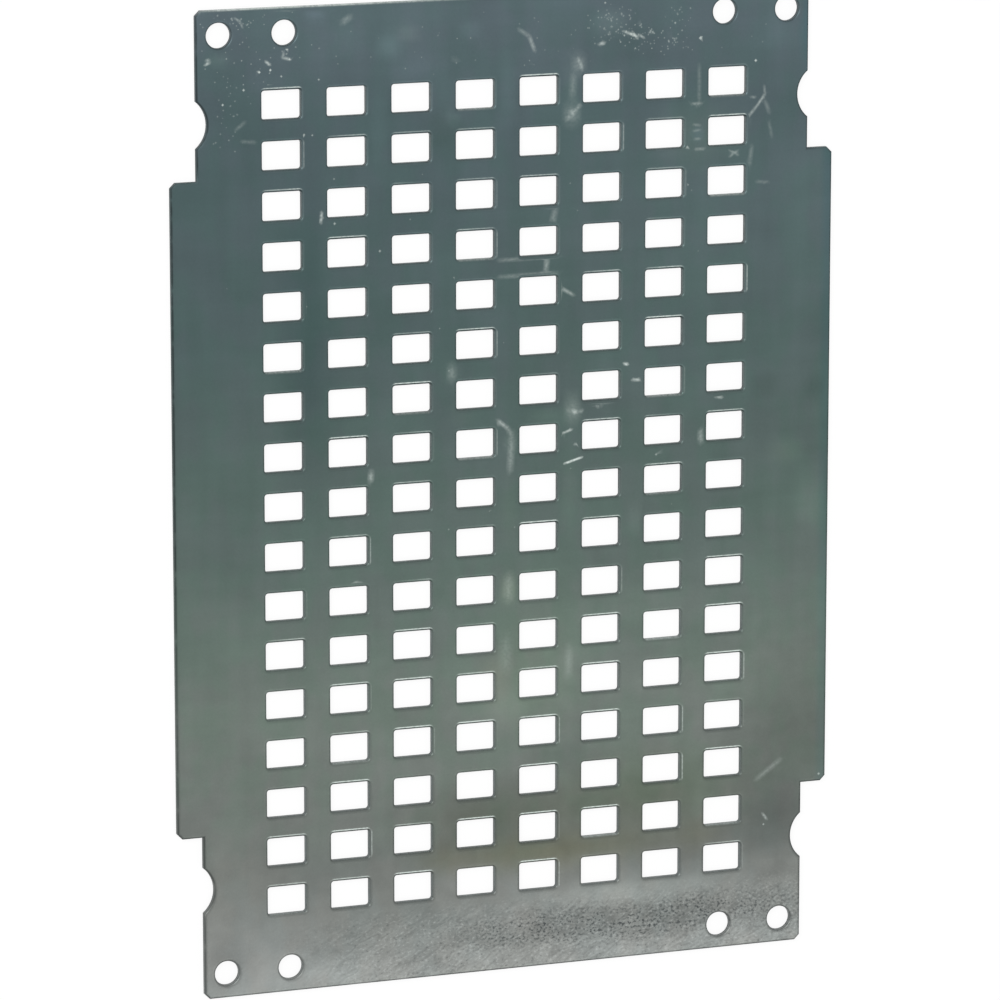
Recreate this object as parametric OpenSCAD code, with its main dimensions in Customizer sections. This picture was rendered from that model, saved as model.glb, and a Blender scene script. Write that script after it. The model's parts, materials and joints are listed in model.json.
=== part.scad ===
// Perforated mounting plate: one flat sheet of zinc-coated steel, punched in a close grid of
// rectangular windows, with a pair of round fixing holes in every corner. Both ends step in to a
// narrower tab, and each side of a tab has a shallow arc scooped out of it.
// The plate lies flat. X runs across it, Y along it and Z up through the sheet, and the origin is
// the middle of its underside.

/* [Sheet] */
// Length of the whole plate, end tabs included
plate_length = 297; // [290:1:310]
// Width of the plate across its long middle part
plate_width = 208; // [204:1:240]
// Thickness of the steel
thickness = 2; // [1:0.25:4]
// Leg of the small cut across each outer corner
corner_cut = 1.6; // [0.4:0.2:3]

/* [End tabs] */
// Length of the narrower tab at each end
tab_length = 50; // [44:0.5:60]
// How far each side steps in where a tab starts
tab_step = 8; // [2:0.5:10]

/* [Side notches] */
// Radius of the arc in each side of a tab
notch_radius = 9; // [5:0.5:14]
// Depth of the arc at its middle
notch_depth = 3.3; // [1:0.1:4.5]
// Distance from the end of the plate to the middle of the arc
notch_from_end = 33.5; // [24:0.5:36]

/* [Window grid] */
// Windows across the plate
columns = 8; // [1:1:8]
// Windows along the plate
rows = 17; // [1:1:17]
// Distance from one window to the next across the plate
column_pitch = 20; // [15:0.5:23]
// Distance from one window to the next along the plate
row_pitch = 15; // [11:0.5:15.5]
// Width of a window
window_width = 12; // [4:0.5:14]
// Height of a window, measured along the plate
window_height = 8.5; // [4:0.5:10.5]
// Radius that the punch leaves in the corners of a window
window_corner = 0.8; // [0.2:0.1:1.8]

/* [Fixing holes] */
// Diameter of the round holes
fixing_diameter = 7.5; // [4:0.5:10]
// Spacing across the plate of the outer holes, nearest the corners
outer_spacing = 178; // [165:1:180]
// Spacing across the plate of the inner holes
inner_spacing = 138; // [60:1:150]
// Distance from the end of the plate to the middle of the round holes
fixing_from_end = 7.5; // [6:0.5:9]

/* [Hidden] */
steel_colour = [0.36, 0.40, 0.39];
tab_width = plate_width - 2 * tab_step;
shoulder_length = plate_length - 2 * tab_length;
notch_centre_x = tab_width / 2 + notch_radius - notch_depth;
notch_centre_y = plate_length / 2 - notch_from_end;
fixing_y = plate_length / 2 - fixing_from_end;
arc_steps = 96;

// A rectangle about the origin with a small cut across each corner
module cut_corner_rectangle(width, length, cut) {
    x = width / 2;
    y = length / 2;
    polygon([
        [x, y - cut], [x - cut, y], [cut - x, y], [-x, y - cut],
        [-x, cut - y], [cut - x, -y], [x - cut, -y], [x, cut - y]
    ]);
}

// The sheet's edge: the wide middle part, run through from end to end by the narrower tabs
module blank() {
    cut_corner_rectangle(plate_width, shoulder_length, corner_cut);
    cut_corner_rectangle(tab_width, plate_length, corner_cut);
}

// The four arcs in the sides of the tabs
module side_notches() {
    for (x = [-1, 1], y = [-1, 1])
        translate([x * notch_centre_x, y * notch_centre_y])
            circle(r = notch_radius, $fn = arc_steps);
}

// A window is a rectangle that keeps the radius of its punch in each corner
module window() {
    straight_width = window_width - 2 * window_corner;
    straight_height = window_height - 2 * window_corner;
    square([straight_width, window_height], center = true);
    square([window_width, straight_height], center = true);
    for (x = [-1, 1], y = [-1, 1])
        translate([x * straight_width / 2, y * straight_height / 2])
            circle(r = window_corner, $fn = arc_steps);
}

// The grid of windows, centred on the plate
module window_grid() {
    first_x = -column_pitch * (columns - 1) / 2;
    first_y = -row_pitch * (rows - 1) / 2;
    for (column = [0 : columns - 1], row = [0 : rows - 1])
        translate([first_x + column * column_pitch, first_y + row * row_pitch])
            window();
}

// One round hole towards each corner, at a given spacing across the plate
module fixing_holes(spacing) {
    for (x = [-1, 1], y = [-1, 1])
        translate([x * spacing / 2, y * fixing_y])
            circle(d = fixing_diameter, $fn = arc_steps);
}

// The finished sheet, everything punched through it in one go
module mounting_plate() {
    color(steel_colour)
        linear_extrude(thickness)
            difference() {
                blank();
                side_notches();
                window_grid();
                fixing_holes(outer_spacing);
                fixing_holes(inner_spacing);
            }
}

mounting_plate();
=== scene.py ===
"""The looks of the perforated mounting plate: a punched sheet of zinc-coated steel lying flat.

Lengths are written in millimetres, and MM turns them into Blender's metres.
X runs across the plate, Y along it and Z up, out of its front face.
"""

import json
import math
from itertools import accumulate
from random import Random

import bmesh
import bpy
from mathutils import Matrix, Vector
from mathutils.geometry import delaunay_2d_cdt


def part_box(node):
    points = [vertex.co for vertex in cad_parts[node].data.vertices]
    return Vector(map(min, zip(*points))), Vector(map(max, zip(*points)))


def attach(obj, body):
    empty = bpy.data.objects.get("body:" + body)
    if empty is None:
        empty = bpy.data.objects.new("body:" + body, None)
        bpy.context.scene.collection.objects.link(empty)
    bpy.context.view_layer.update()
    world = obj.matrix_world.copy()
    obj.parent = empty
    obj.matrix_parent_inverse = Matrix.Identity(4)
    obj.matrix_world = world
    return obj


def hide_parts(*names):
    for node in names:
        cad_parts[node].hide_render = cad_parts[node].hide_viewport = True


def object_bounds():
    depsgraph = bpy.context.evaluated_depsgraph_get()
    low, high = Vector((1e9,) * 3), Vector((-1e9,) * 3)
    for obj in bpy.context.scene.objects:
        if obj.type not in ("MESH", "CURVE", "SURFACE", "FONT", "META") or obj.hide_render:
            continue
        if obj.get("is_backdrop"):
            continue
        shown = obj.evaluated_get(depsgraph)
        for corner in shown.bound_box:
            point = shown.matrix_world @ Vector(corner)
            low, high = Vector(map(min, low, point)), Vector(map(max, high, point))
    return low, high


MM = 0.001
NODE = "mounting_plate"

# What every point of the sheet's mesh carries for its material, besides the tint of the coating,
# which holds painted highlights too
POINT_VALUES = ("grime_and_shade", "bare", "scuff_and_highlight")

# Punched features, in millimetres, as in the part's own design
CORNER_CUT = 1.6
TAB_LENGTH = 50.0
TAB_STEP = 8.0
NOTCH_RADIUS = 9.0
NOTCH_DEPTH = 3.3
NOTCH_FROM_END = 33.5
COLUMNS = 8
ROWS = 17
COLUMN_PITCH = 20.0
ROW_PITCH = 15.0
WINDOW_WIDTH = 12.0
WINDOW_HEIGHT = 8.5
WINDOW_CORNER = 0.8

# How many straight pieces an arc is drawn with
WINDOW_CORNER_STEPS = 4
HOLE_STEPS = 48
NOTCH_STEPS = 16

# How far apart points are, in millimetres: on an edge, on the front face and on a mark. Points that
# share a square of POINT_GAP are one, and those on the face keep FACE_MARGIN away from the edges'
# innermost rings. Beside a cut corner, which runs at 45 degrees, the margin is taken along X and Y
# together, and is CUT_MARGIN times as large.
EDGE_STEP = 5.3
FACE_STEP = 2.0
MARK_STEP = 1.2
POINT_GAP = 0.15
FACE_MARGIN = 0.05
CUT_MARGIN = 1.5

# The kind of triangulation that leaves holes open, and how close together its points are one
HOLES_OPEN = 2
SAME_POINT = 1e-6

# A punched edge from the front face to the back face. Each ring is (how far it stands back into
# the metal, how deep it lies below the front face as a share of the thickness, grime and painted
# shade, bare steel, how pale a painted highlight on the lip is there, and how pale a painted
# highlight on the wall is). The punch rolls the front edge over, shears a bright wall, and the rest
# breaks away dull and ragged. The first ROLLED_RINGS of them are the rolled edge.
EDGE_RINGS = [
    (1.10, 0.000, 0.0, 0.0, 0.0, 0.0),
    (0.88, 0.003, 0.0, 0.0, 0.1, 0.0),
    (0.74, 0.008, 0.0, 0.0, 1.0, 0.0),
    (0.60, 0.018, 0.1, 0.1, 0.6, 0.0),
    (0.45, 0.034, 0.5, 0.1, 0.0, 0.1),
    (0.31, 0.064, 1.0, 0.1, 0.0, 0.4),
    (0.17, 0.125, 1.0, 0.2, 0.0, 0.8),
    (0.05, 0.215, 0.8, 0.4, 0.0, 1.0),
    (0.00, 0.320, 0.2, 0.8, 0.0, 1.0),
    (0.00, 0.560, 0.3, 0.8, 0.0, 0.8),
    (0.00, 0.680, 0.8, 0.3, 0.0, 0.2),
    (0.04, 0.960, 1.0, 0.0, 0.0, 0.0),
    (0.10, 1.000, 0.8, 0.0, 0.0, 0.0),
    (0.70, 1.000, 0.0, 0.0, 0.0, 0.0),
]
ROLLED_RINGS = 8

# How much of the rolled rings' grime and painted shade, which goes by the way an edge faces, and of
# the bare steel shows on each kind of edge, where it faces right, left, up and down the plate
EDGE_LOOKS = {
    "rim": ((0.8, 0.8, 0.2, 0.9), (0.0, 0.1, 0.4, 0.0)),
    "window": ((0.45, 0.05, 0.22, 0.35), (0.2, 1.0, 0.8, 0.2)),
    "hole": ((0.5, 0.2, 0.3, 0.5), (0.0, 0.3, 0.2, 0.0)),
}

# The painted highlight on the rim's wall at the top end: the X that it reaches from the left, the
# length over which it would fade to that from 1, and its most
RIM_HIGHLIGHT_TO = 20.0
RIM_HIGHLIGHT_FADE = 90.0
RIM_HIGHLIGHT_MOST = 0.8

# The painted highlights on the windows' edges. Each one's highlight is thrown between two values,
# with nothing below 0 shown: of the lip that faces down, the lip that faces left and the wall that
# faces up. The lean is how much the first of them grows for each millimetre along X. The lower
# windows have the first of them more often.
HIGHLIGHT_SEED = 11
LIP_DOWN_HIGHLIGHT = (-1.3, 1.0)
LIP_LEFT_HIGHLIGHT = (-1.8, 0.45)
WALL_UP_HIGHLIGHT = (-4.0, 0.5)
HIGHLIGHT_LEAN = (-0.03, 0.05)
MORE_HIGHLIGHT_BELOW = -40.0
MORE_HIGHLIGHT_BY = 0.8

# How closely the painted highlights keep to the edges that face their way, and how much grime and
# painted shade lies below a lip with a painted highlight
FACING_POWER = 12
LIT_LIP_GRIME_AND_SHADE = 0.6

# The edges further down the plate hold less grime and painted shade: from where, over what length
# and by how much
LIGHTER_EDGES_BELOW = -10.0
LIGHTER_EDGES_FADE = 40.0
LIGHTER_EDGES_BY = 0.35

# Tones of the coating along the plate, from the top end to the bottom end, where it is lighter
# partly from a painted reflection of the light: (Y, sRGB colour)
COATING_AND_REFLECTION_TONES = [
    (150, (88, 103, 108)),
    (110, (77, 93, 96)),
    (50, (76, 92, 92)),
    (-10, (84, 98, 94)),
    (-65, (98, 108, 102)),
    (-112, (98, 102, 99)),
    (-150, (128, 131, 129)),
]

# The other sRGB colours: the sheared steel, worn places and painted highlights, grime and painted
# shade, and the flecks of the bottom end, which are partly painted reflection
BARE_STEEL = (132, 140, 140)
WORN_AND_HIGHLIGHT_PALE = (204, 213, 209)
GRIME_AND_SHADE_DARK = (40, 46, 47)
FLECK_DARK = (56, 60, 61)
FLECK_PALE = (172, 175, 174)

# The teal cast of the right edge, and the X where it starts and where it is full
TEAL_SHADE = (0.86, 0.97, 1.0, 1.0)
TEAL_RISE = (99.5, 102.5)

# How far along Y the tones stray up and down the plate
TONE_WANDER = 7.0

# Noises by what they are for: (size of a blotch in X and Y, detail, twist)
NOISES = {
    "tone": ((60, 45), 1.0, 0.0),
    "hue": ((11, 17), 3.0, 0.0),
    "grit": ((0.95, 0.75), 4.0, 0.2),
    "patches": ((10, 5), 3.0, 1.0),
    "wisps": ((6.5, 1.9), 3.0, 1.4),
    "band": ((40, 400), 1.0, 0.0),
    "fine": ((1.0, 0.8), 2.0, 0.0),
    "broad": ((5, 5), 2.0, 0.0),
    "pits": ((0.5, 0.5), 1.0, 0.0),
    "waves": ((7, 7), 1.0, 0.0),
}

# What mottles the coating: clouds, streaks along the plate, streaks across it and a fine grain, each
# (size of a blotch in X and Y, detail, how much lighter or darker)
MOTTLES = [
    ((24, 20), 4.0, 0.075),
    ((6, 60), 2.0, 0.040),
    ((60, 5), 2.0, 0.025),
    ((0.8, 0.8), 1.0, 0.025),
]

# The two hues that the coating wavers between, over most of the plate and at its bottom end, the
# levels of noise where it is all of one or the other, and the stretch of Y over which the bottom's
# two give way to the others
SHADES = ((0.965, 1.009, 0.975, 1.0), (1.032, 0.994, 1.01, 1.0))
BOTTOM_SHADES = ((0.986, 1.003, 1.004, 1.0), (1.012, 0.998, 0.988, 1.0))
HUE_LEVELS = (0.36, 0.64)
BOTTOM_HUES_RISE = (-122, -88)

# The grain of the bottom end, partly the coating's own and partly painted flecks of the reflection
# that lightens that end: the Y where it starts and where it is full, the same along X, and how much
# of it there is left of that
GRAIN_START_Y = (-123, -134)
GRAIN_START_X = (-78, -34)
GRAIN_LEAST = 0.1

# How much lighter or darker the grain's grit, patches and wisps make it, and how far the wisps
# slant up to the right, in radians
GRIT_CHANGE = 0.12
PATCH_CHANGE = 0.10
WISP_CHANGE = 0.25
WISP_SLANT = 0.5

# The band of dark flecks in the grain: the Y of its middle and how far that wanders, the distances
# from the middle where it ends and where it is full, the X where it starts and is full at its left
# and at its right, and the change of the coating's tone in it
# The band's darker tone and dark flecks are partly painted reflection, as the grain is
BAND_Y = -136.6
BAND_WANDER = 2.0
BAND_REACH = (8.0, 1.0)
BAND_LEFT = (-32, 8)
BAND_RIGHT = (115, 62)
BAND_CHANGE = -0.20

# Levels of noise between which clumps of flecks and the flecks themselves come in. Those of the
# flecks are followed by how strongly the flecks colour the coating.
CLUMP_LEVELS = (0.30, 0.54)
BAND_FLECKS = ((0.455, 0.37), 0.86)
DARK_FLECKS = ((0.33, 0.26), 0.45)
PALE_FLECKS = ((0.60, 0.72), 0.22)

# How uneven the bare steel is, and how patchily worn places with painted highlights, and grime with
# painted shade, cover what is under them: (levels of noise, cover up to the first level, how much
# more there is from the second on)
STEEL_CHANGE = 0.10
WORN_AND_HIGHLIGHT_COVER = ((0.30, 0.62), 0.75, 0.45)
GRIME_AND_SHADE_COVER = ((0.15, 0.50), 0.0, 0.90)

# Roughness of the coating, how it varies, what steel and grime with painted shade add to it, and the
# share of that which worn places with painted highlights add
ROUGHNESS = 0.42
ROUGHNESS_CHANGE = 0.04
ROUGHER_BY = 0.25
WORN_AND_HIGHLIGHT_ROUGHER = 0.5

# Relief of the coating: the depth of its pits in millimetres, and how much deeper its waves are
RELIEF_DEPTH = 0.012
WAVES_DEEPER = 1.5

# Broad soft areas that are lighter or darker, partly the coating's own uneven tone and partly
# painted highlights and sheen: (centre, reach, change of red, green and blue)
CLOUDS = [
    # Painted sheen: the upper part of the plate lighter towards the right
    ((60.0, 80.0), (110.0, 75.0), (0.14, 0.12, 0.11)),
    ((98.0, 80.0), (16.0, 50.0), (0.14, 0.12, 0.12)),
    ((-62.0, 45.0), (14.0, 75.0), (-0.23, -0.17, -0.17)),
    ((8.0, -50.0), (26.0, 36.0), (0.08, 0.10, 0.04)),
    ((42.0, -38.0), (34.0, 14.0), (0.12, 0.11, 0.10)),
    ((0.0, -67.0), (13.0, 10.0), (0.16, 0.15, 0.14)),
    ((97.0, -78.0), (34.0, 30.0), (-0.22, -0.20, -0.22)),
    ((-4.0, -101.0), (44.0, 20.0), (-0.26, -0.23, -0.30)),
    ((45.0, -98.0), (48.0, 22.0), (-0.22, -0.18, -0.28)),
    ((88.0, -108.0), (26.0, 20.0), (-0.28, -0.26, -0.26)),
    ((-88.0, -112.0), (16.0, 22.0), (0.14, 0.13, 0.12)),
    # Painted highlight: a pale band below the lowest windows
    ((36.0, -127.0), (40.0, 6.5), (0.34, 0.34, 0.34)),
    ((4.0, -134.0), (20.0, 6.0), (0.20, 0.18, 0.18)),
    # Painted highlight at the bottom left
    ((-58.0, -145.0), (26.0, 7.0), (0.16, 0.16, 0.16)),
    ((60.0, -127.0), (12.0, 5.0), (0.16, 0.16, 0.16)),
    ((88.0, -126.0), (13.0, 5.0), (-0.20, -0.20, -0.20)),
    ((86.0, 134.0), (12.0, 12.0), (0.12, 0.10, 0.12)),
    ((20.0, 146.0), (12.0, 6.0), (0.12, 0.08, 0.12)),
    ((-22.0, -112.0), (12.0, 9.0), (-0.10, -0.12, -0.16)),
    ((62.0, -112.0), (12.0, 9.0), (-0.08, -0.10, -0.16)),
    ((14.0, -113.0), (54.0, 9.0), (-0.10, -0.12, -0.26)),
    ((60.0, 104.0), (20.0, 16.0), (0.20, 0.18, 0.10)),
    ((-20.0, 110.0), (12.0, 12.0), (-0.14, -0.13, -0.16)),
    ((20.0, -84.0), (14.0, 10.0), (-0.14, -0.12, -0.12)),
    ((-90.0, -138.0), (14.0, 12.0), (-0.22, -0.22, -0.22)),
    ((96.0, 135.0), (4.0, 20.0), (-0.10, 0.03, 0.08)),
    ((32.5, 139.5), (8.0, 6.0), (0.22, 0.24, 0.18)),
    ((20.5, 122.0), (4.5, 16.0), (0.14, 0.15, 0.11)),
    ((20.5, 23.5), (5.0, 8.0), (0.26, 0.27, 0.20)),
    ((-31.0, 139.0), (6.0, 4.0), (0.26, 0.23, 0.18)),
    ((-37.0, 135.5), (6.0, 6.0), (0.32, 0.32, 0.32)),
    ((-29.0, 128.0), (14.0, 8.0), (0.16, 0.16, 0.17)),
    ((-50.0, 138.0), (9.0, 8.0), (0.12, 0.12, 0.12)),
    ((-59.7, 146.0), (5.0, 3.0), (0.22, 0.20, 0.24)),
    ((-11.5, 139.2), (5.0, 4.5), (0.24, 0.24, 0.24)),
    ((-17.3, 113.7), (4.0, 3.6), (0.26, 0.26, 0.24)),
    ((-40.0, 112.0), (4.5, 20.0), (0.14, 0.14, 0.14)),
    ((0.0, 118.0), (4.0, 18.0), (0.12, 0.13, 0.13)),
    ((-89.0, 133.8), (5.0, 3.4), (0.24, 0.24, 0.18)),
    ((60.5, 104.5), (3.5, 3.5), (0.12, 0.16, 0.22)),
    ((12.0, 21.5), (8.0, 5.0), (0.18, 0.19, 0.14)),
    ((-14.0, 24.0), (6.0, 6.0), (0.08, 0.10, 0.05)),
    ((19.5, 0.0), (4.5, 22.0), (0.10, 0.10, 0.08)),
    ((0.5, -6.0), (4.5, 16.0), (0.10, 0.11, 0.07)),
    ((41.0, -11.0), (3.5, 8.0), (0.18, 0.18, 0.17)),
    ((-17.6, 37.0), (4.5, 5.5), (0.18, 0.18, 0.15)),
    ((0.3, -30.0), (4.5, 7.0), (0.28, 0.29, 0.16)),
    ((-4.0, -57.0), (8.0, 12.0), (0.14, 0.10, 0.06)),
    ((19.8, -54.0), (3.5, 8.0), (0.14, 0.16, 0.14)),
    ((99.0, 25.0), (6.0, 7.0), (-0.16, -0.14, -0.14)),
    ((83.0, 27.0), (7.0, 6.0), (-0.14, -0.12, -0.14)),
    ((90.0, 6.0), (9.0, 6.0), (0.14, 0.15, 0.09)),
    ((98.0, -9.0), (8.0, 15.0), (0.20, 0.20, 0.18)),
]

# Scratches and scuffs in the coating: (start, end, half width, strength)
SCUFFS = [
    ((18.0, 7.0), (23.9, 8.7), 0.50, 1.00),
    ((17.4, 16.3), (20.6, 17.4), 0.55, 0.55),
    ((21.2, 12.7), (22.9, 12.8), 0.60, 0.34),
    ((-3.2, 21.8), (0.2, 18.9), 0.90, 0.36),
    ((-0.2, 19.4), (1.6, 16.4), 1.10, 0.20),
    ((1.3, 17.6), (0.8, 5.8), 1.50, 0.20),
    ((1.6, 15.0), (1.6, 14.0), 3.60, 0.13),
    ((37.1, 36.4), (38.4, 36.0), 0.70, 0.85),
    ((39.7, 31.1), (42.4, 31.1), 0.70, 0.55),
    ((66.8, 24.2), (69.0, 23.9), 0.70, 0.45),
    ((20.4, 22.8), (22.2, 22.6), 1.10, 0.52),
    ((22.8, 22.7), (23.8, 22.9), 0.80, 0.42),
    ((18.9, 23.5), (19.4, 23.1), 0.80, 0.36),
    ((20.8, 26.0), (20.6, 21.0), 3.20, 0.11),
    ((28.4, 24.0), (28.9, 23.5), 0.70, 0.42),
    ((-17.6, 39.0), (-17.6, 35.0), 2.00, 0.15),
    ((-43.0, 8.8), (-43.2, 5.8), 1.30, 0.32),
    ((-47.7, -24.2), (-47.5, -24.4), 0.70, 0.55),
    ((0.5, -26.0), (0.2, -33.5), 2.20, 0.12),
    ((-0.5, -45.0), (-0.8, -55.0), 3.00, 0.08),
    ((19.8, -49.5), (19.5, -58.5), 1.80, 0.09),
    ((81.7, 118.2), (82.0, 115.0), 0.60, 0.22),
    ((82.1, 115.8), (79.0, 111.5), 0.60, 0.42),
    ((79.6, 112.3), (76.2, 108.5), 0.70, 0.32),
    ((77.3, 114.8), (79.0, 114.8), 0.60, 0.28),
    ((81.9, 113.9), (83.5, 109.7), 0.90, 0.14),
    ((83.4, 107.2), (84.3, 102.3), 0.80, 0.10),
    ((70.6, 99.2), (73.5, 97.5), 0.60, 0.25),
    ((70.6, 97.2), (73.5, 99.1), 0.60, 0.25),
    ((77.9, 100.2), (77.1, 94.2), 1.00, 0.14),
    ((79.2, 89.2), (83.5, 88.8), 0.70, 0.12),
    ((22.4, 129.2), (22.4, 125.8), 3.00, 0.17),
    ((23.5, 125.9), (22.1, 129.3), 0.80, 0.40),
    ((20.8, 125.0), (20.3, 117.4), 1.60, 0.13),
    ((20.2, 114.6), (20.2, 110.6), 3.40, 0.19),
    ((20.1, 114.0), (20.9, 111.8), 1.00, 0.40),
    ((18.4, 111.0), (23.0, 115.3), 0.90, 0.34),
    ((3.4, 138.8), (7.1, 136.2), 0.90, 0.20),
    ((6.6, 136.8), (8.6, 131.9), 0.90, 0.30),
    ((60.8, 125.6), (60.8, 113.3), 0.90, 0.11),
    ((58.3, 113.7), (61.7, 113.7), 0.70, 0.24),
    ((58.9, 107.4), (61.3, 107.2), 0.65, 0.16),
    ((58.9, 105.6), (61.3, 105.8), 0.65, 0.16),
    ((59.3, 103.0), (61.2, 103.1), 0.65, 0.20),
    ((59.6, 100.0), (62.5, 100.0), 0.70, 0.22),
    ((15.2, 85.0), (12.8, 74.5), 1.40, 0.18),
    ((13.1, 75.5), (12.0, 65.0), 1.20, 0.28),
    ((-3.0, 70.0), (16.0, 70.2), 0.90, 0.18),
    ((-3.0, 65.0), (16.0, 65.2), 0.90, 0.18),
    ((16.0, 61.1), (21.0, 58.1), 0.80, 0.34),
    ((28.2, 35.0), (30.0, 24.0), 1.00, 0.20),
    ((-58.0, 87.7), (-58.2, 84.3), 0.70, 0.55),
    ((62.0, 14.3), (62.0, 10.4), 1.40, 0.24),
    ((36.2, 136.6), (38.2, 135.9), 0.50, 0.50),
    ((38.0, 136.0), (40.8, 134.8), 0.55, 0.85),
    ((39.3, 136.3), (41.1, 134.1), 0.50, 0.65),
    ((41.4, 135.3), (43.2, 134.2), 0.50, 0.50),
    ((28.9, 132.9), (30.6, 133.5), 0.80, 0.60),
    ((-51.4, 143.1), (-48.7, 144.9), 1.40, 0.19),
    ((-69.8, 133.9), (-67.3, 133.1), 0.70, 0.42),
    ((-69.2, 135.5), (-69.6, 133.7), 0.60, 0.28),
    ((-74.9, 133.0), (-73.4, 131.8), 0.60, 0.70),
    ((-93.4, 132.7), (-91.7, 133.4), 0.60, 0.60),
    ((-93.1, 134.0), (-91.9, 134.2), 0.55, 0.42),
    ((-81.1, 115.5), (-84.2, 113.2), 0.80, 0.13),
    ((-82.5, 109.8), (-78.0, 109.3), 0.80, 0.11),
    ((-84.3, 146.0), (-82.4, 144.9), 0.50, 0.32),
    ((-82.7, 145.3), (-81.7, 143.0), 0.50, 0.24),
    ((83.1, -107.0), (84.8, -109.2), 0.60, 0.32),
    ((80.9, -96.3), (89.2, -90.4), 1.10, 0.13),
]

# Single bright dots in the coating: (centre, half width, strength)
DOTS = [
    ((-72.7, 139.9), 0.50, 0.85),
    ((-68.3, 136.1), 0.55, 0.75),
    ((-67.5, 133.2), 0.50, 0.80),
    ((-73.4, 130.3), 0.55, 1.00),
    ((-76.8, 129.8), 0.60, 0.95),
    ((-70.1, 128.3), 0.50, 0.80),
    ((-81.6, 124.8), 0.60, 0.75),
    ((-88.0, 120.8), 0.55, 0.85),
    ((-63.2, 110.8), 0.50, 0.80),
    ((-60.7, 110.5), 0.45, 0.60),
    ((-58.6, 126.8), 0.50, 0.50),
    ((-54.0, 84.0), 0.60, 0.60),
    ((-40.0, 75.0), 0.60, 0.60),
    ((57.1, 100.8), 0.60, 0.75),
    ((57.3, 89.4), 0.50, 0.55),
    ((61.1, 133.4), 0.70, 1.00),
    ((78.9, 125.8), 0.65, 0.95),
    ((30.7, 145.3), 0.50, 0.65),
    ((53.0, 138.3), 0.50, 0.60),
    ((47.6, 7.8), 0.55, 0.60),
    ((83.6, -110.6), 0.50, 0.45),
    ((101.8, -96.2), 0.60, 0.45),
]

# Areas thrown with small pale specks: (centre, reach that holds nearly all, how many, strength)
SPECKLED = [
    ((-86.0, 145.0), (10.0, 2.5), 30, 0.50),
    ((-78.0, 136.0), (20.0, 14.0), 60, 0.42),
    ((-86.0, 116.0), (9.0, 18.0), 34, 0.32),
    ((33.0, 139.5), (9.0, 7.0), 64, 0.34),
    ((41.0, 135.0), (9.0, 4.0), 40, 0.55),
    ((51.0, 133.0), (12.0, 6.0), 36, 0.42),
    ((55.0, 141.0), (6.0, 4.0), 14, 0.32),
    ((10.0, 135.0), (70.0, 12.0), 40, 0.30),
    ((0.0, 40.0), (90.0, 90.0), 40, 0.35),
]
SPECK_SEED = 5
SPECK_HALF_WIDTH = (0.26, 0.46)
SPECK_STRENGTH = (0.4, 1.0)

# No mark reaches further than this along X or Y from its start. Towards its ends a mark loses up to
# so much of its strength, and the higher the power the nearer to them.
MARK_REACH = 25.0
END_LOSS = 0.6
END_POWER = 4

# The studio: its white, how bright the white surroundings are for light that falls on things, how
# much of the floor's white is its own, so that the plate's shadow on it stays faint, the floor's
# size, how far it lies below the plate, and its paint
WHITE = (1.0, 1.0, 1.0, 1.0)
SKY_LIGHT = 0.85
FLOOR_GLOW = 0.90
FLOOR_SIZE = 24000.0
FLOOR_DROP = 0.05
FLOOR_PAINT = (0.92, 0.92, 0.92, 1.0)

# Softboxes: (name, place, width and height, watts), aimed at the plate
SOFTBOXES = [
    ("key", (-900.0, 700.0, 1100.0), (700.0, 500.0), 10.0),
    ("fill", (300.0, -520.0, 800.0), (500.0, 350.0), 1.0),
]

# The camera stands over the plate's top left and looks down on it
CAMERA_PLACE = (-627.0, 388.0, 1723.5)
CAMERA_TARGET = (-2.4, -2.6, 2.0)
CAMERA_LENS = 225.6


def clamp(value, most=1.0):
    """A value that is kept from 0 to most."""
    return min(max(value, 0.0), most)


def closer_points(loop, step):
    """The same closed loop, with points added so that none are further apart than step."""
    points = []
    for here, there in zip(loop, [*loop[1:], loop[0]]):
        parts = math.ceil((there - here).length / step)
        points += [here.lerp(there, i / parts) for i in range(parts)]
    return points


def loop_normals(points):
    """At each point of a closed loop, the vector that moves both its edges out to their left by 1."""
    count = len(points)
    normals = []
    for i, here in enumerate(points):
        before = (here - points[i - 1]).normalized()
        after = (points[(i + 1) % count] - here).normalized()
        left_before = Vector((-before.y, before.x))
        left_after = Vector((-after.y, after.x))
        both = left_before + left_after
        normals.append(both / (1 + left_before.dot(left_after)))
    return normals


def arc(centre, radius, start, sweep, steps):
    """Points along an arc, ends included. Angles are in degrees, counter-clockwise from +X."""
    points = []
    for i in range(steps + 1):
        angle = math.radians(start + sweep * i / steps)
        points.append(Vector((centre[0] + radius * math.cos(angle),
                              centre[1] + radius * math.sin(angle))))
    return points


def round_hole(centre, radius):
    """A round hole, walked clockwise so that the metal is on its left."""
    return arc(centre, radius, 0, -360, HOLE_STEPS)[:-1]


def window(centre):
    """A window with the punch's radius in its corners, walked clockwise."""
    x = WINDOW_WIDTH / 2 - WINDOW_CORNER
    y = WINDOW_HEIGHT / 2 - WINDOW_CORNER
    points = []
    for side_x, side_y, start in ((1, 1, 90), (1, -1, 0), (-1, -1, -90), (-1, 1, 180)):
        corner = (centre[0] + side_x * x, centre[1] + side_y * y)
        points += arc(corner, WINDOW_CORNER, start, -90, WINDOW_CORNER_STEPS)
    return points


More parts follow.
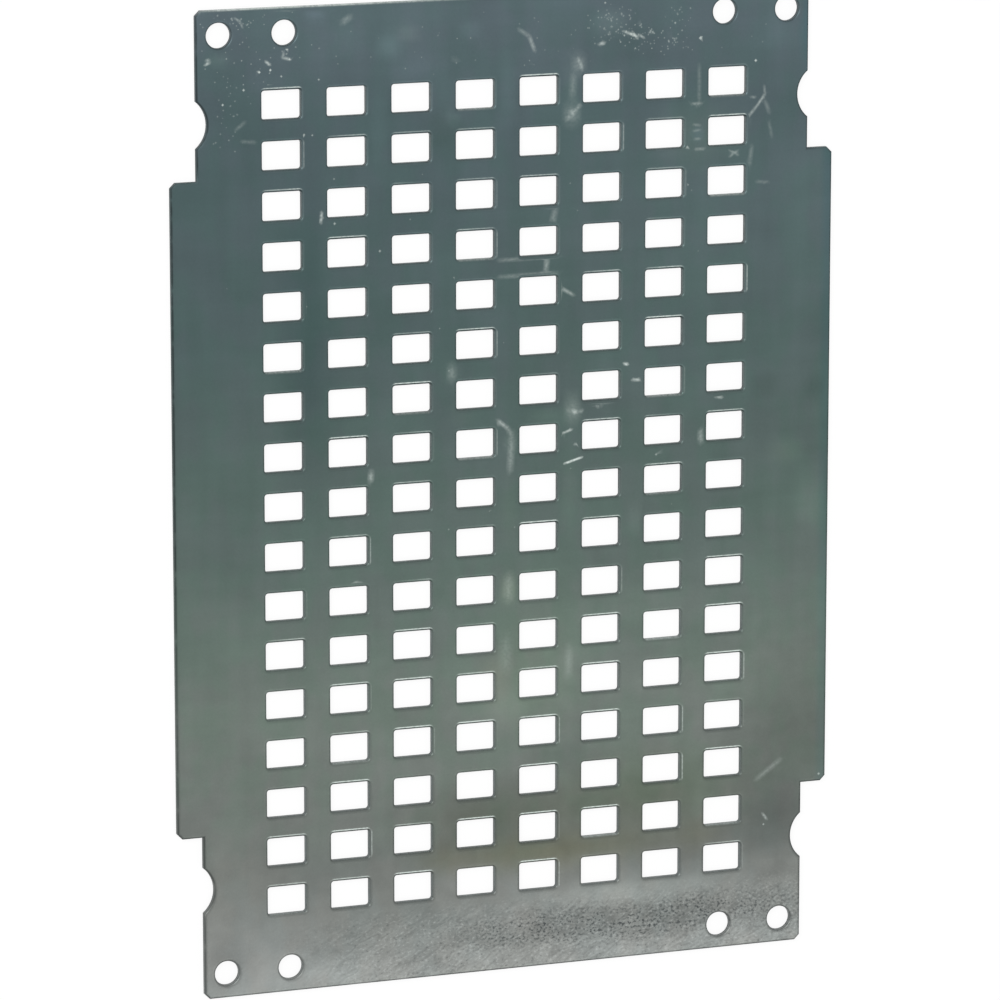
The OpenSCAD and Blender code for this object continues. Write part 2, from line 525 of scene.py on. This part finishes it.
def sheet_outline(half_size):
    """The sheet's outer edge, counter-clockwise: four mirrored quarters of steps, cuts and arcs."""
    half_width, half_length = half_size
    half_tab = half_width - TAB_STEP
    shoulder = half_length - TAB_LENGTH
    notch_x = half_tab + NOTCH_RADIUS - NOTCH_DEPTH
    notch_y = half_length - NOTCH_FROM_END
    half_angle = math.degrees(math.acos((NOTCH_RADIUS - NOTCH_DEPTH) / NOTCH_RADIUS))
    quarter = [
        Vector((half_width, shoulder - CORNER_CUT)),
        Vector((half_width - CORNER_CUT, shoulder)),
        Vector((half_tab, shoulder)),
    ]
    quarter += arc((notch_x, notch_y), NOTCH_RADIUS, 180 + half_angle, -2 * half_angle, NOTCH_STEPS)
    quarter += [
        Vector((half_tab, half_length - CORNER_CUT)),
        Vector((half_tab - CORNER_CUT, half_length)),
    ]
    points = list(quarter)
    points += [Vector((-p.x, p.y)) for p in reversed(quarter)]
    points += [Vector((-p.x, -p.y)) for p in quarter]
    points += [Vector((p.x, -p.y)) for p in reversed(quarter)]
    return points


def window_centres():
    """The centre of every window, in millimetres."""
    for row in range(ROWS):
        for column in range(COLUMNS):
            yield ((column - (COLUMNS - 1) / 2) * COLUMN_PITCH, (row - (ROWS - 1) / 2) * ROW_PITCH)


def fixing_holes(record):
    """(centre, radius) of every round hole, from the bolt patterns that the record states."""
    for mount in record["mounts"]:
        if mount["kind"] != "bolt_pattern":
            continue
        dims = mount["dims"]
        for side_x in (-1, 1):
            for side_y in (-1, 1):
                centre = (side_x * dims["spacing_x_mm"] / 2, side_y * dims["spacing_y_mm"] / 2)
                yield centre, dims["hole_r_mm"]


def back_points():
    """Points on the webs between windows, so that the back face meshes evenly."""
    return [Vector(((column - COLUMNS / 2) * COLUMN_PITCH, (row - ROWS / 2) * ROW_PITCH))
            for row in range(ROWS + 1) for column in range(COLUMNS + 1)]


def near_window(point, margin):
    """Whether a point is in a window or less than margin from one."""
    column = clamp(round(point.x / COLUMN_PITCH + (COLUMNS - 1) / 2), COLUMNS - 1)
    row = clamp(round(point.y / ROW_PITCH + (ROWS - 1) / 2), ROWS - 1)
    off_x = abs(point.x - (column - (COLUMNS - 1) / 2) * COLUMN_PITCH)
    off_y = abs(point.y - (row - (ROWS - 1) / 2) * ROW_PITCH)
    return off_x < WINDOW_WIDTH / 2 + margin and off_y < WINDOW_HEIGHT / 2 + margin


def inside_corner(across, along, half_width, half_length, margin):
    """Whether a point is inside a rectangle with cut corners, at least margin away from its edge."""
    from_side, from_end = half_width - across, half_length - along
    off_cut = from_side + from_end - CORNER_CUT
    return min(from_side, from_end) > margin and off_cut > CUT_MARGIN * margin


def on_metal(point, margin, half_size, holes):
    """Whether a point is on the sheet's face, at least margin away from every edge of it."""
    half_width, half_length = half_size
    across, along = abs(point.x), abs(point.y)
    half_tab = half_width - TAB_STEP
    shoulder = half_length - TAB_LENGTH
    in_middle = inside_corner(across, along, half_width, shoulder, margin)
    if not (in_middle or inside_corner(across, along, half_tab, half_length, margin)):
        return False
    notch = Vector((half_tab + NOTCH_RADIUS - NOTCH_DEPTH, half_length - NOTCH_FROM_END))
    if (Vector((across, along)) - notch).length < NOTCH_RADIUS + margin:
        return False
    if any((point - Vector(centre)).length < radius + margin for centre, radius in holes):
        return False
    return not near_window(point, margin)


def all_marks():
    """Every mark on the front face, with small specks thrown at random but always the same way."""
    marks = SCUFFS + [(centre, centre, half_width, strength) for centre, half_width, strength in DOTS]
    random = Random(SPECK_SEED)
    for centre, reach, count, strength in SPECKLED:
        for _ in range(count):
            place = (random.gauss(centre[0], reach[0] / 2), random.gauss(centre[1], reach[1] / 2))
            half_width = random.uniform(*SPECK_HALF_WIDTH)
            marks.append((place, place, half_width, strength * random.uniform(*SPECK_STRENGTH)))
    return marks


def mark_points(start, end, half_width):
    """Points down the middle of a mark, along both its sides and off both its ends."""
    start, end = Vector(start), Vector(end)
    line = end - start
    along = line.normalized() if line.length else Vector((1.0, 0.0))
    side = Vector((-along.y, along.x)) * half_width
    steps = math.ceil(line.length / MARK_STEP)
    points = [start - along * half_width, end + along * half_width]
    for i in range(steps + 1):
        middle = start + line * (i / max(steps, 1))
        points += [middle, middle - side, middle + side]
    return points


def spaced_out(points, gap):
    """The points, less those that share a square of size gap with one before them."""
    kept = {}
    for point in points:
        kept.setdefault((round(point.x / gap), round(point.y / gap)), point)
    return list(kept.values())


def front_points(marks, half_size, holes):
    """An even spread of points over the front face and those of the marks, where there is metal."""
    steps_x, steps_y = (math.ceil(half / FACE_STEP) for half in half_size)
    points = [Vector((i * FACE_STEP, j * FACE_STEP))
              for i in range(-steps_x, steps_x + 1) for j in range(-steps_y, steps_y + 1)]
    for start, end, half_width, _ in marks:
        points += mark_points(start, end, half_width)
    margin = EDGE_RINGS[0][0] + FACE_MARGIN
    return spaced_out([point for point in points if on_metal(point, margin, half_size, holes)],
                      POINT_GAP)


def scuff_at(point, marks):
    """How strong the strongest mark is at a point: full in its middle, less at its ends and sides."""
    strongest = 0.0
    for start, end, half_width, strength in marks:
        if max(abs(point.x - start[0]), abs(point.y - start[1])) > MARK_REACH:
            continue
        line = Vector(end) - Vector(start)
        from_start = point - Vector(start)
        share = from_start.dot(line) / line.length_squared if line.length_squared else 0.5
        share = clamp(share)
        distance = (from_start - line * share).length
        taper = 1 - END_LOSS * abs(2 * share - 1) ** END_POWER
        strongest = max(strongest, strength * taper * (1 - distance / half_width))
    return strongest


def tint_and_highlight_at(point):
    """What the coating's red, green and blue are multiplied by at a point, from the clouds there, some
    of which are painted highlights.
    A cloud fades from its middle to its rim as a smooth step does."""
    tint_and_highlight = Vector((1.0, 1.0, 1.0))
    for centre, reach, change in CLOUDS:
        distance = math.hypot((point.x - centre[0]) / reach[0], (point.y - centre[1]) / reach[1])
        if distance < 1:
            tint_and_highlight += Vector(change) * (1 - distance * distance * (3 - 2 * distance))
    return tint_and_highlight


def metal_triangles(points, rounds):
    """Triangles that fill what lies to the left of every loop, as triples of indices into points."""
    loops = [list(turn) for turn in rounds]
    _, _, triangles, sources, _, _ = delaunay_2d_cdt(points, [], loops, HOLES_OPEN, SAME_POINT)
    return [[sources[corner][0] for corner in triangle] for triangle in triangles]


def fill_face(mesh, ring, rounds, points, z, flip):
    """Fills one face of the sheet between its loops, through points at height z, and returns them."""
    flat = [vertex.co.to_2d() / MM for vertex in ring]
    inner = [mesh.verts.new((p.x * MM, p.y * MM, z * MM)) for p in points]
    corners = ring + inner
    for triangle in metal_triangles(flat + points, rounds):
        order = reversed(triangle) if flip else triangle
        mesh.faces.new([corners[i] for i in order])
    return inner


def rim_highlight(loop):
    """How pale the rim's painted highlight is at each of its points: only its wall at the top end, less
    to the right.
    """
    end = max(point.y for point in loop) - 2 * CORNER_CUT
    for point in loop:
        wall = clamp((RIM_HIGHLIGHT_TO - point.x) / RIM_HIGHLIGHT_FADE, RIM_HIGHLIGHT_MOST)
        yield 0.0, 0.0, (wall if point.y > end else 0.0)


def window_highlight(loop, random):
    """How pale a window's painted highlight is at each of its points: its lip facing down and left, its
    wall facing up.
    """
    more = MORE_HIGHLIGHT_BY if loop[0].y < MORE_HIGHLIGHT_BELOW else 0.0
    down = random.uniform(*LIP_DOWN_HIGHLIGHT) + more
    left = max(random.uniform(*LIP_LEFT_HIGHLIGHT), 0.0)
    up = max(random.uniform(*WALL_UP_HIGHLIGHT), 0.0)
    lean = random.uniform(*HIGHLIGHT_LEAN)
    return [(clamp(down + lean * (point.x - loop[0].x)), left, up) for point in loop]


def edge_highlights(edges):
    """How pale the painted highlight on each edge is at each of its points, the same way each time it is
    asked.
    """
    random = Random(HIGHLIGHT_SEED)
    for kind, loop in edges:
        if kind == "rim":
            yield rim_highlight(loop)
        elif kind == "window":
            yield window_highlight(loop, random)
        else:
            yield [(0.0, 0.0, 0.0)] * len(loop)


def by_facing(outward, right, left, up, down):
    """A value that goes by which way an edge faces, blended between the four ways."""
    sideways = right if outward.x > 0 else left
    lengthways = up if outward.y > 0 else down
    return sideways * outward.x ** 2 + lengthways * outward.y ** 2


def edge_values(level, kind, point, outward, highlight):
    """The grime and painted shade, bare steel and painted highlight on the lip or wall at a point of an
    edge that faces outward.
    """
    _, _, grime_and_shade, bare, lip, wall = EDGE_RINGS[level]
    grime_and_shade_held, bare_shown = EDGE_LOOKS[kind]
    lit_down, lit_left, lit_up = highlight
    down, left, up = max(-outward.y, 0.0), max(-outward.x, 0.0), max(outward.y, 0.0)
    # A lip or wall that faces the light gets a painted highlight, laid on in the worn places' pale
    pale = lip * (lit_down * down ** FACING_POWER + lit_left * left ** FACING_POWER)
    pale += wall * lit_up * up ** FACING_POWER
    # The rolled rings' grime is partly painted shade, which goes by the way the edge faces
    dirt_and_shade = grime_and_shade * (1 - LIGHTER_EDGES_BY * clamp((LIGHTER_EDGES_BELOW - point.y) / LIGHTER_EDGES_FADE))
    if level < ROLLED_RINGS:
        dirt_and_shade *= by_facing(outward, *grime_and_shade_held) + LIT_LIP_GRIME_AND_SHADE * lit_down * down
    return {"grime_and_shade": dirt_and_shade * (1 - pale), "bare": bare * by_facing(outward, *bare_shown), "scuff_and_highlight": pale}


def add_ring(mesh, layers, level, edges, z):
    """One ring of points round every edge at height z, each with the values of its place."""
    back = EDGE_RINGS[level][0]
    ring = []
    for (kind, loop), highlight in zip(edges, edge_highlights(edges)):
        for point, normal, wear_and_highlight in zip(loop, loop_normals(loop), highlight):
            place = point + normal * back
            vertex = mesh.verts.new((place.x * MM, place.y * MM, z * MM))
            values = edge_values(level, kind, point, -normal.normalized(), wear_and_highlight)
            for name, value in values.items():
                vertex[layers[name]] = value
            vertex[layers["tint_and_highlight"]] = (*tint_and_highlight_at(point), 1.0)
            ring.append(vertex)
    return ring


def new_layers(mesh):
    """The values that every point carries, by name. Adding one unsettles those before it, so they
    are looked up once all are there."""
    for name in POINT_VALUES:
        mesh.verts.layers.float.new(name)
    mesh.verts.layers.float_color.new("tint_and_highlight")
    layers = {name: mesh.verts.layers.float[name] for name in POINT_VALUES}
    layers["tint_and_highlight"] = mesh.verts.layers.float_color["tint_and_highlight"]
    return layers


def sheet_edges(half_size, holes):
    """Every edge of the sheet as (kind, points), with the metal on its left."""
    edges = [("rim", sheet_outline(half_size))]
    edges += [("window", window(centre)) for centre in window_centres()]
    edges += [("hole", round_hole(centre, radius)) for centre, radius in holes]
    return [(kind, closer_points(loop, EDGE_STEP)) for kind, loop in edges]


def add_walls(mesh, rings, rounds):
    """Faces from each ring of points to the next. All are smooth except the flat lip on the back."""
    for upper, lower in zip(rings, rings[1:]):
        for turn in rounds:
            for here, there in zip(turn, [*turn[1:], turn[0]]):
                quad = mesh.faces.new((upper[here], lower[here], lower[there], upper[there]))
                quad.smooth = lower is not rings[-1]


def add_faces(mesh, layers, rings, rounds, heights, half_size, holes):
    """The front and back faces, with the marks on the front one and the tint, with its painted
    highlights, on both.
    """
    marks = all_marks()
    on_front = front_points(marks, half_size, holes)
    front = fill_face(mesh, rings[0], rounds, on_front, heights[0], False)
    back = fill_face(mesh, rings[-1], rounds, back_points(), heights[1], True)
    for vertex in front + back:
        vertex[layers["tint_and_highlight"]] = (*tint_and_highlight_at(vertex.co.to_2d() / MM), 1.0)
    for vertex in front + rings[0]:
        vertex[layers["scuff_and_highlight"]] = scuff_at(vertex.co.to_2d() / MM, marks)


def build_sheet(record, box):
    """The punched sheet as one closed mesh, with rolled and sheared edges round every opening."""
    low, high = (Vector(corner) / MM for corner in box)
    half_size = (high.x - low.x) / 2, (high.y - low.y) / 2
    holes = list(fixing_holes(record))
    edges = sheet_edges(half_size, holes)
    starts = [0, *accumulate(len(loop) for _, loop in edges)]
    rounds = [range(start, start + len(loop)) for start, (_, loop) in zip(starts, edges)]

    mesh = bmesh.new()
    layers = new_layers(mesh)
    rings = [add_ring(mesh, layers, level, edges, high.z - ring[1] * (high.z - low.z))
             for level, ring in enumerate(EDGE_RINGS)]
    add_walls(mesh, rings, rounds)
    add_faces(mesh, layers, rings, rounds, (high.z, low.z), half_size, holes)
    bmesh.ops.recalc_face_normals(mesh, faces=mesh.faces)
    data = bpy.data.meshes.new("punched_sheet")
    mesh.to_mesh(data)
    mesh.free()
    sheet = bpy.data.objects.new("punched_sheet", data)
    bpy.context.scene.collection.objects.link(sheet)
    return sheet


def linear(colour):
    """A shader colour from an sRGB colour in 0 to 255, by the formula of that standard."""
    def channel(value):
        share = value / 255
        return share / 12.92 if share <= 0.04045 else ((share + 0.055) / 1.055) ** 2.4
    return (*(channel(value) for value in colour), 1.0)


class Graph:
    """Adds shader nodes to a tree. An input is either a socket to link or a plain value."""

    def __init__(self, tree):
        self.tree = tree
        tree.nodes.clear()

    def node(self, kind, inputs=None, **settings):
        """A new node with its settings and inputs."""
        node = self.tree.nodes.new(kind)
        for name, value in settings.items():
            setattr(node, name, value)
        for key, value in (inputs or {}).items():
            if isinstance(value, bpy.types.NodeSocket):
                self.tree.links.new(value, node.inputs[key])
            else:
                node.inputs[key].default_value = value
        return node

    def math(self, operation, a, b=0.0, clamp=False):
        """One operation on two values."""
        node = self.node("ShaderNodeMath", {0: a, 1: b}, operation=operation, use_clamp=clamp)
        return node.outputs[0]

    def vector(self, operation, a, b):
        """One operation on two vectors that gives a vector."""
        return self.node("ShaderNodeVectorMath", {0: a, 1: b}, operation=operation).outputs[0]

    def scale(self, vector, amount):
        """A vector or a colour times a number."""
        node = self.node("ShaderNodeVectorMath", {0: vector, 3: amount}, operation="SCALE")
        return node.outputs[0]

    def rise(self, value, low, high):
        """0 up to low and 1 from high on, smooth between. It falls instead if low is the larger."""
        node = self.node("ShaderNodeMapRange", {0: value, 1: low, 2: high},
                         interpolation_type="SMOOTHSTEP")
        return node.outputs[0]

    def product(self, *factors):
        """All the factors multiplied together."""
        total = factors[0]
        for factor in factors[1:]:
            total = self.math("MULTIPLY", total, factor)
        return total

    def noise(self, place, size, detail, twist=0.0):
        """Noise from 0 to 1 over X and Y whose blotches are about size in X and Y, in millimetres."""
        stretched = self.vector("MULTIPLY", place, (1 / size[0], 1 / size[1], 0.0))
        inputs = {"Vector": stretched, "Scale": 1.0, "Detail": detail, "Distortion": twist}
        return self.node("ShaderNodeTexNoise", inputs, noise_dimensions="2D").outputs[0]

    def swing(self, noise, reach):
        """Noise from 0 to 1 turned into a change about 0 that seldom goes past reach either way,
        because noise seldom strays further from its middle than a third of 1."""
        return self.math("MULTIPLY", self.math("SUBTRACT", noise, 0.5), 3.0 * reach)

    def total(self, *parts):
        """All the parts added up."""
        result = parts[0]
        for part in parts[1:]:
            result = self.math("ADD", result, part)
        return result

    def mix(self, factor, a, b, blend="MIX"):
        """Colour a with factor of colour b laid over it."""
        node = self.node("ShaderNodeMix", {0: factor, 6: a, 7: b}, data_type="RGBA", blend_type=blend)
        return node.outputs[2]

    def shade(self, colour, change):
        """A colour made lighter or darker by a share that is about 0."""
        return self.scale(colour, self.math("ADD", change, 1.0))


def coating_and_reflection_tone(graph, place, y):
    """The coating's tone down the plate, lighter towards the bottom end partly by a painted reflection,
    and a little higher or lower from place to place.
    """
    stray = graph.swing(graph.noise(place, *NOISES["tone"]), TONE_WANDER)
    height = graph.math("ADD", y, stray)
    low, high = COATING_AND_REFLECTION_TONES[-1][0], COATING_AND_REFLECTION_TONES[0][0]
    share = graph.node("ShaderNodeMapRange", {0: height, 1: low, 2: high}).outputs[0]
    tones = graph.node("ShaderNodeValToRGB", {0: share})
    stops = tones.color_ramp.elements
    while len(stops) < len(COATING_AND_REFLECTION_TONES):
        stops.new(0.5)
    for stop, (level, colour) in zip(stops, reversed(COATING_AND_REFLECTION_TONES)):
        stop.position = (level - low) / (high - low)
        stop.color = linear(colour)
    return tones.outputs[0]


def mottle(graph, place, y, colour):
    """Clouds, patches of another hue, rolling streaks and a fine grain in the coating."""
    hue = graph.rise(graph.noise(place, *NOISES["hue"]), *HUE_LEVELS)
    above = graph.rise(y, *BOTTOM_HUES_RISE)
    cool, warm = (graph.mix(above, bottom, most) for bottom, most in zip(BOTTOM_SHADES, SHADES))
    hued = graph.mix(1.0, colour, graph.mix(hue, cool, warm), "MULTIPLY")
    change = graph.total(*(graph.swing(graph.noise(place, size, detail), reach)
                           for size, detail, reach in MOTTLES))
    return graph.shade(hued, change)


def fleck_band(graph, place, x, y):
    """How much of the band of dark flecks is at a place."""
    wander = graph.swing(graph.noise(place, *NOISES["band"]), BAND_WANDER)
    off_middle = graph.math("ABSOLUTE", graph.total(y, -BAND_Y, wander))
    return graph.product(graph.rise(off_middle, *BAND_REACH), graph.rise(x, *BAND_LEFT),
                         graph.rise(x, *BAND_RIGHT))


def flecks(graph, noise, where, kind):
    """How strongly flecks of one kind cover a place."""
    levels, strength = kind
    return graph.product(graph.rise(noise, *levels), where, strength)


def granular_end(graph, place, x, y, colour):
    """Grain over the bottom end that fades to the left, and a wandering band of dark flecks, partly
    the coating's own and partly painted flecks of reflection.
    """
    rightward = graph.math("MULTIPLY", graph.rise(x, *GRAIN_START_X), 1 - GRAIN_LEAST)
    grain = graph.product(graph.rise(y, *GRAIN_START_Y), graph.total(rightward, GRAIN_LEAST))
    slanted = graph.node("ShaderNodeVectorRotate", {"Vector": place, "Angle": -WISP_SLANT},
                         rotation_type="Z_AXIS").outputs[0]
    grit = graph.noise(place, *NOISES["grit"])
    patches = graph.noise(place, *NOISES["patches"])
    wisps = graph.noise(slanted, *NOISES["wisps"])
    change = graph.total(graph.swing(grit, GRIT_CHANGE), graph.swing(patches, PATCH_CHANGE),
                         graph.swing(wisps, WISP_CHANGE))
    colour = graph.shade(colour, graph.product(change, grain))
    band = fleck_band(graph, place, x, y)
    colour = graph.shade(colour, graph.product(band, BAND_CHANGE))
    clumps = graph.product(band, graph.rise(patches, *CLUMP_LEVELS))
    dark = graph.math("MAXIMUM", flecks(graph, grit, clumps, BAND_FLECKS),
                      flecks(graph, grit, grain, DARK_FLECKS))
    colour = graph.mix(dark, colour, linear(FLECK_DARK))
    return graph.mix(flecks(graph, grit, grain, PALE_FLECKS), colour, linear(FLECK_PALE))


def patchily(graph, amount, noise, cover):
    """An amount that goes on patchily, by levels of noise, the cover at the first and what is added."""
    levels, least, more = cover
    share = graph.total(graph.product(graph.rise(noise, *levels), more), least)
    return graph.math("MULTIPLY", amount, share, clamp=True)


def coating_and_painted_light(graph, place):
    """The colour of the coating with its painted reflection and highlights, before wear, grime and the
    painted highlights and shade of the edges.
    """
    x, y, _ = graph.node("ShaderNodeSeparateXYZ", {0: place}).outputs
    tint_and_highlight = graph.node("ShaderNodeAttribute", attribute_name="tint_and_highlight").outputs["Color"]
    colour = mottle(graph, place, y, coating_and_reflection_tone(graph, place, y))
    colour = graph.mix(1.0, colour, tint_and_highlight, "MULTIPLY")
    colour = graph.mix(graph.rise(x, *TEAL_RISE), colour, TEAL_SHADE, "MULTIPLY")
    return granular_end(graph, place, x, y, colour)


def relief(graph, place):
    """The normal of the coating, which has small pits on broader waves."""
    waves = graph.math("MULTIPLY", graph.noise(place, *NOISES["waves"]), WAVES_DEEPER)
    bump = graph.node("ShaderNodeBump", {
        "Height": graph.math("ADD", graph.noise(place, *NOISES["pits"]), waves),
        "Strength": 1.0,
        "Distance": RELIEF_DEPTH * MM,
    })
    return bump.outputs[0]


def sheet_material():
    """Satin zinc over steel, scuffed and grimy, with the bare steel of the cut walls, and painted
    highlights and painted shade along its edges.
    """
    material = bpy.data.materials.new("zinc_coated_sheet")
    material.use_nodes = True
    graph = Graph(material.node_tree)
    metres = graph.node("ShaderNodeTexCoord").outputs["Object"]
    place = graph.scale(metres, 1 / MM)
    grime_and_shade, bare, scuff_and_highlight = (graph.node("ShaderNodeAttribute", attribute_name=name).outputs["Fac"]
                          for name in POINT_VALUES)
    fine = graph.noise(place, *NOISES["fine"])
    broad = graph.noise(place, *NOISES["broad"])

    steel = graph.shade(linear(BARE_STEEL)[:3], graph.swing(fine, STEEL_CHANGE))
    # Worn places and the painted highlights of edges are laid on in pale, grime and painted shade in
    # dark
    wear_and_highlight = patchily(graph, scuff_and_highlight, fine, WORN_AND_HIGHLIGHT_COVER)
    dirt_and_shade = patchily(graph, grime_and_shade, broad, GRIME_AND_SHADE_COVER)
    colour = graph.mix(bare, coating_and_painted_light(graph, place), steel)
    colour = graph.mix(wear_and_highlight, colour, linear(WORN_AND_HIGHLIGHT_PALE))
    colour = graph.mix(dirt_and_shade, colour, linear(GRIME_AND_SHADE_DARK))

    rough = graph.math("MAXIMUM", graph.math("MAXIMUM", bare, grime_and_shade),
                       graph.product(wear_and_highlight, WORN_AND_HIGHLIGHT_ROUGHER))
    roughness = graph.total(graph.swing(broad, ROUGHNESS_CHANGE),
                            graph.math("MULTIPLY", rough, ROUGHER_BY), ROUGHNESS)
    surface = graph.node("ShaderNodeBsdfPrincipled", {
        "Base Color": colour,
        "Metallic": 1.0,
        "Roughness": roughness,
        "Normal": relief(graph, place),
    })
    graph.node("ShaderNodeOutputMaterial", {"Surface": surface.outputs[0]})
    return material


def seen_directly(graph):
    """1 for a ray that shows a thing, straight, mirrored or through glass, and 0 for one that lights."""
    rays = graph.node("ShaderNodeLightPath").outputs
    mirrored = graph.math("MAXIMUM", rays["Is Glossy Ray"], rays["Is Transmission Ray"])
    return graph.math("MAXIMUM", rays["Is Camera Ray"], mirrored)


def white_surroundings():
    """A white world that lights things more softly than it looks."""
    world = bpy.data.worlds.new("white_surroundings")
    world.use_nodes = True
    graph = Graph(world.node_tree)
    seen = seen_directly(graph)
    strength = graph.node("ShaderNodeMapRange", {0: seen, 3: SKY_LIGHT, 4: 1.0}).outputs[0]
    sky = graph.node("ShaderNodeBackground", {"Color": WHITE, "Strength": strength})
    graph.node("ShaderNodeOutputWorld", {"Surface": sky.outputs[0]})
    bpy.context.scene.world = world


def white_floor():
    """A wide white floor just under the plate, which keeps a faint shadow."""
    mesh = bmesh.new()
    bmesh.ops.create_grid(mesh, x_segments=1, y_segments=1, size=FLOOR_SIZE / 2 * MM)
    data = bpy.data.meshes.new("white_floor")
    mesh.to_mesh(data)
    mesh.free()
    material = bpy.data.materials.new("white_floor")
    material.use_nodes = True
    graph = Graph(material.node_tree)
    paint = graph.node("ShaderNodeBsdfDiffuse", {"Color": FLOOR_PAINT})
    glow = graph.node("ShaderNodeEmission", {"Color": WHITE, "Strength": 1.0})
    share = graph.math("MULTIPLY", seen_directly(graph), FLOOR_GLOW)
    surface = graph.node("ShaderNodeMixShader", {0: share, 1: paint.outputs[0], 2: glow.outputs[0]})
    graph.node("ShaderNodeOutputMaterial", {"Surface": surface.outputs[0]})
    data.materials.append(material)
    floor = bpy.data.objects.new("white_floor", data)
    floor.location.z = -FLOOR_DROP * MM
    bpy.context.scene.collection.objects.link(floor)
    floor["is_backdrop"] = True


def stand(thing, place, target, upward):
    """Puts a lamp or camera at place, looking at target, with upward up in what it sees."""
    back = (Vector(place) - Vector(target)).normalized()
    right = Vector(upward).cross(back).normalized()
    turn = Matrix((right, back.cross(right), back)).transposed()
    thing.matrix_world = Matrix.Translation(Vector(place) * MM) @ turn.to_4x4()
    bpy.context.scene.collection.objects.link(thing)


def softboxes():
    """The studio's soft lamps."""
    for name, place, size, watts in SOFTBOXES:
        lamp = bpy.data.lights.new(name, "AREA")
        lamp.shape = "RECTANGLE"
        lamp.size = size[0] * MM
        lamp.size_y = size[1] * MM
        lamp.energy = watts
        softbox = bpy.data.objects.new(name, lamp)
        stand(softbox, place, target=(0.0, 0.0, 0.0), upward=(0.0, 0.0, 1.0))


def camera():
    """The camera at the photograph's angle."""
    lens = bpy.data.cameras.new("camera")
    lens.lens = CAMERA_LENS
    view = bpy.data.objects.new("camera", lens)
    stand(view, CAMERA_PLACE, CAMERA_TARGET, upward=(0.0, 1.0, 0.0))
    bpy.context.scene.camera = view


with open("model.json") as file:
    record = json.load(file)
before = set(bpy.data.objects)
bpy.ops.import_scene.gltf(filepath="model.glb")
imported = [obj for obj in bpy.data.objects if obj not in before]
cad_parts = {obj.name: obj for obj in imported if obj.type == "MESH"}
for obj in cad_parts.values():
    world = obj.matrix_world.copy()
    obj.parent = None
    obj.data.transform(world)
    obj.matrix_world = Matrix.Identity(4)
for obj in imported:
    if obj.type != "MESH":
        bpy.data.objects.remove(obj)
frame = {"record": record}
cad_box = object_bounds()

sheet = build_sheet(frame["record"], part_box(NODE))
sheet.data.materials.append(sheet_material())
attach(sheet, "root")
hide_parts(NODE)

white_floor()
white_surroundings()
softboxes()
camera()
bpy.context.scene.view_settings.view_transform = "Standard"

boxes = {"cad": cad_box, "visual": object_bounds()}
{name: [list(corner) for corner in box] for name, box in boxes.items()}
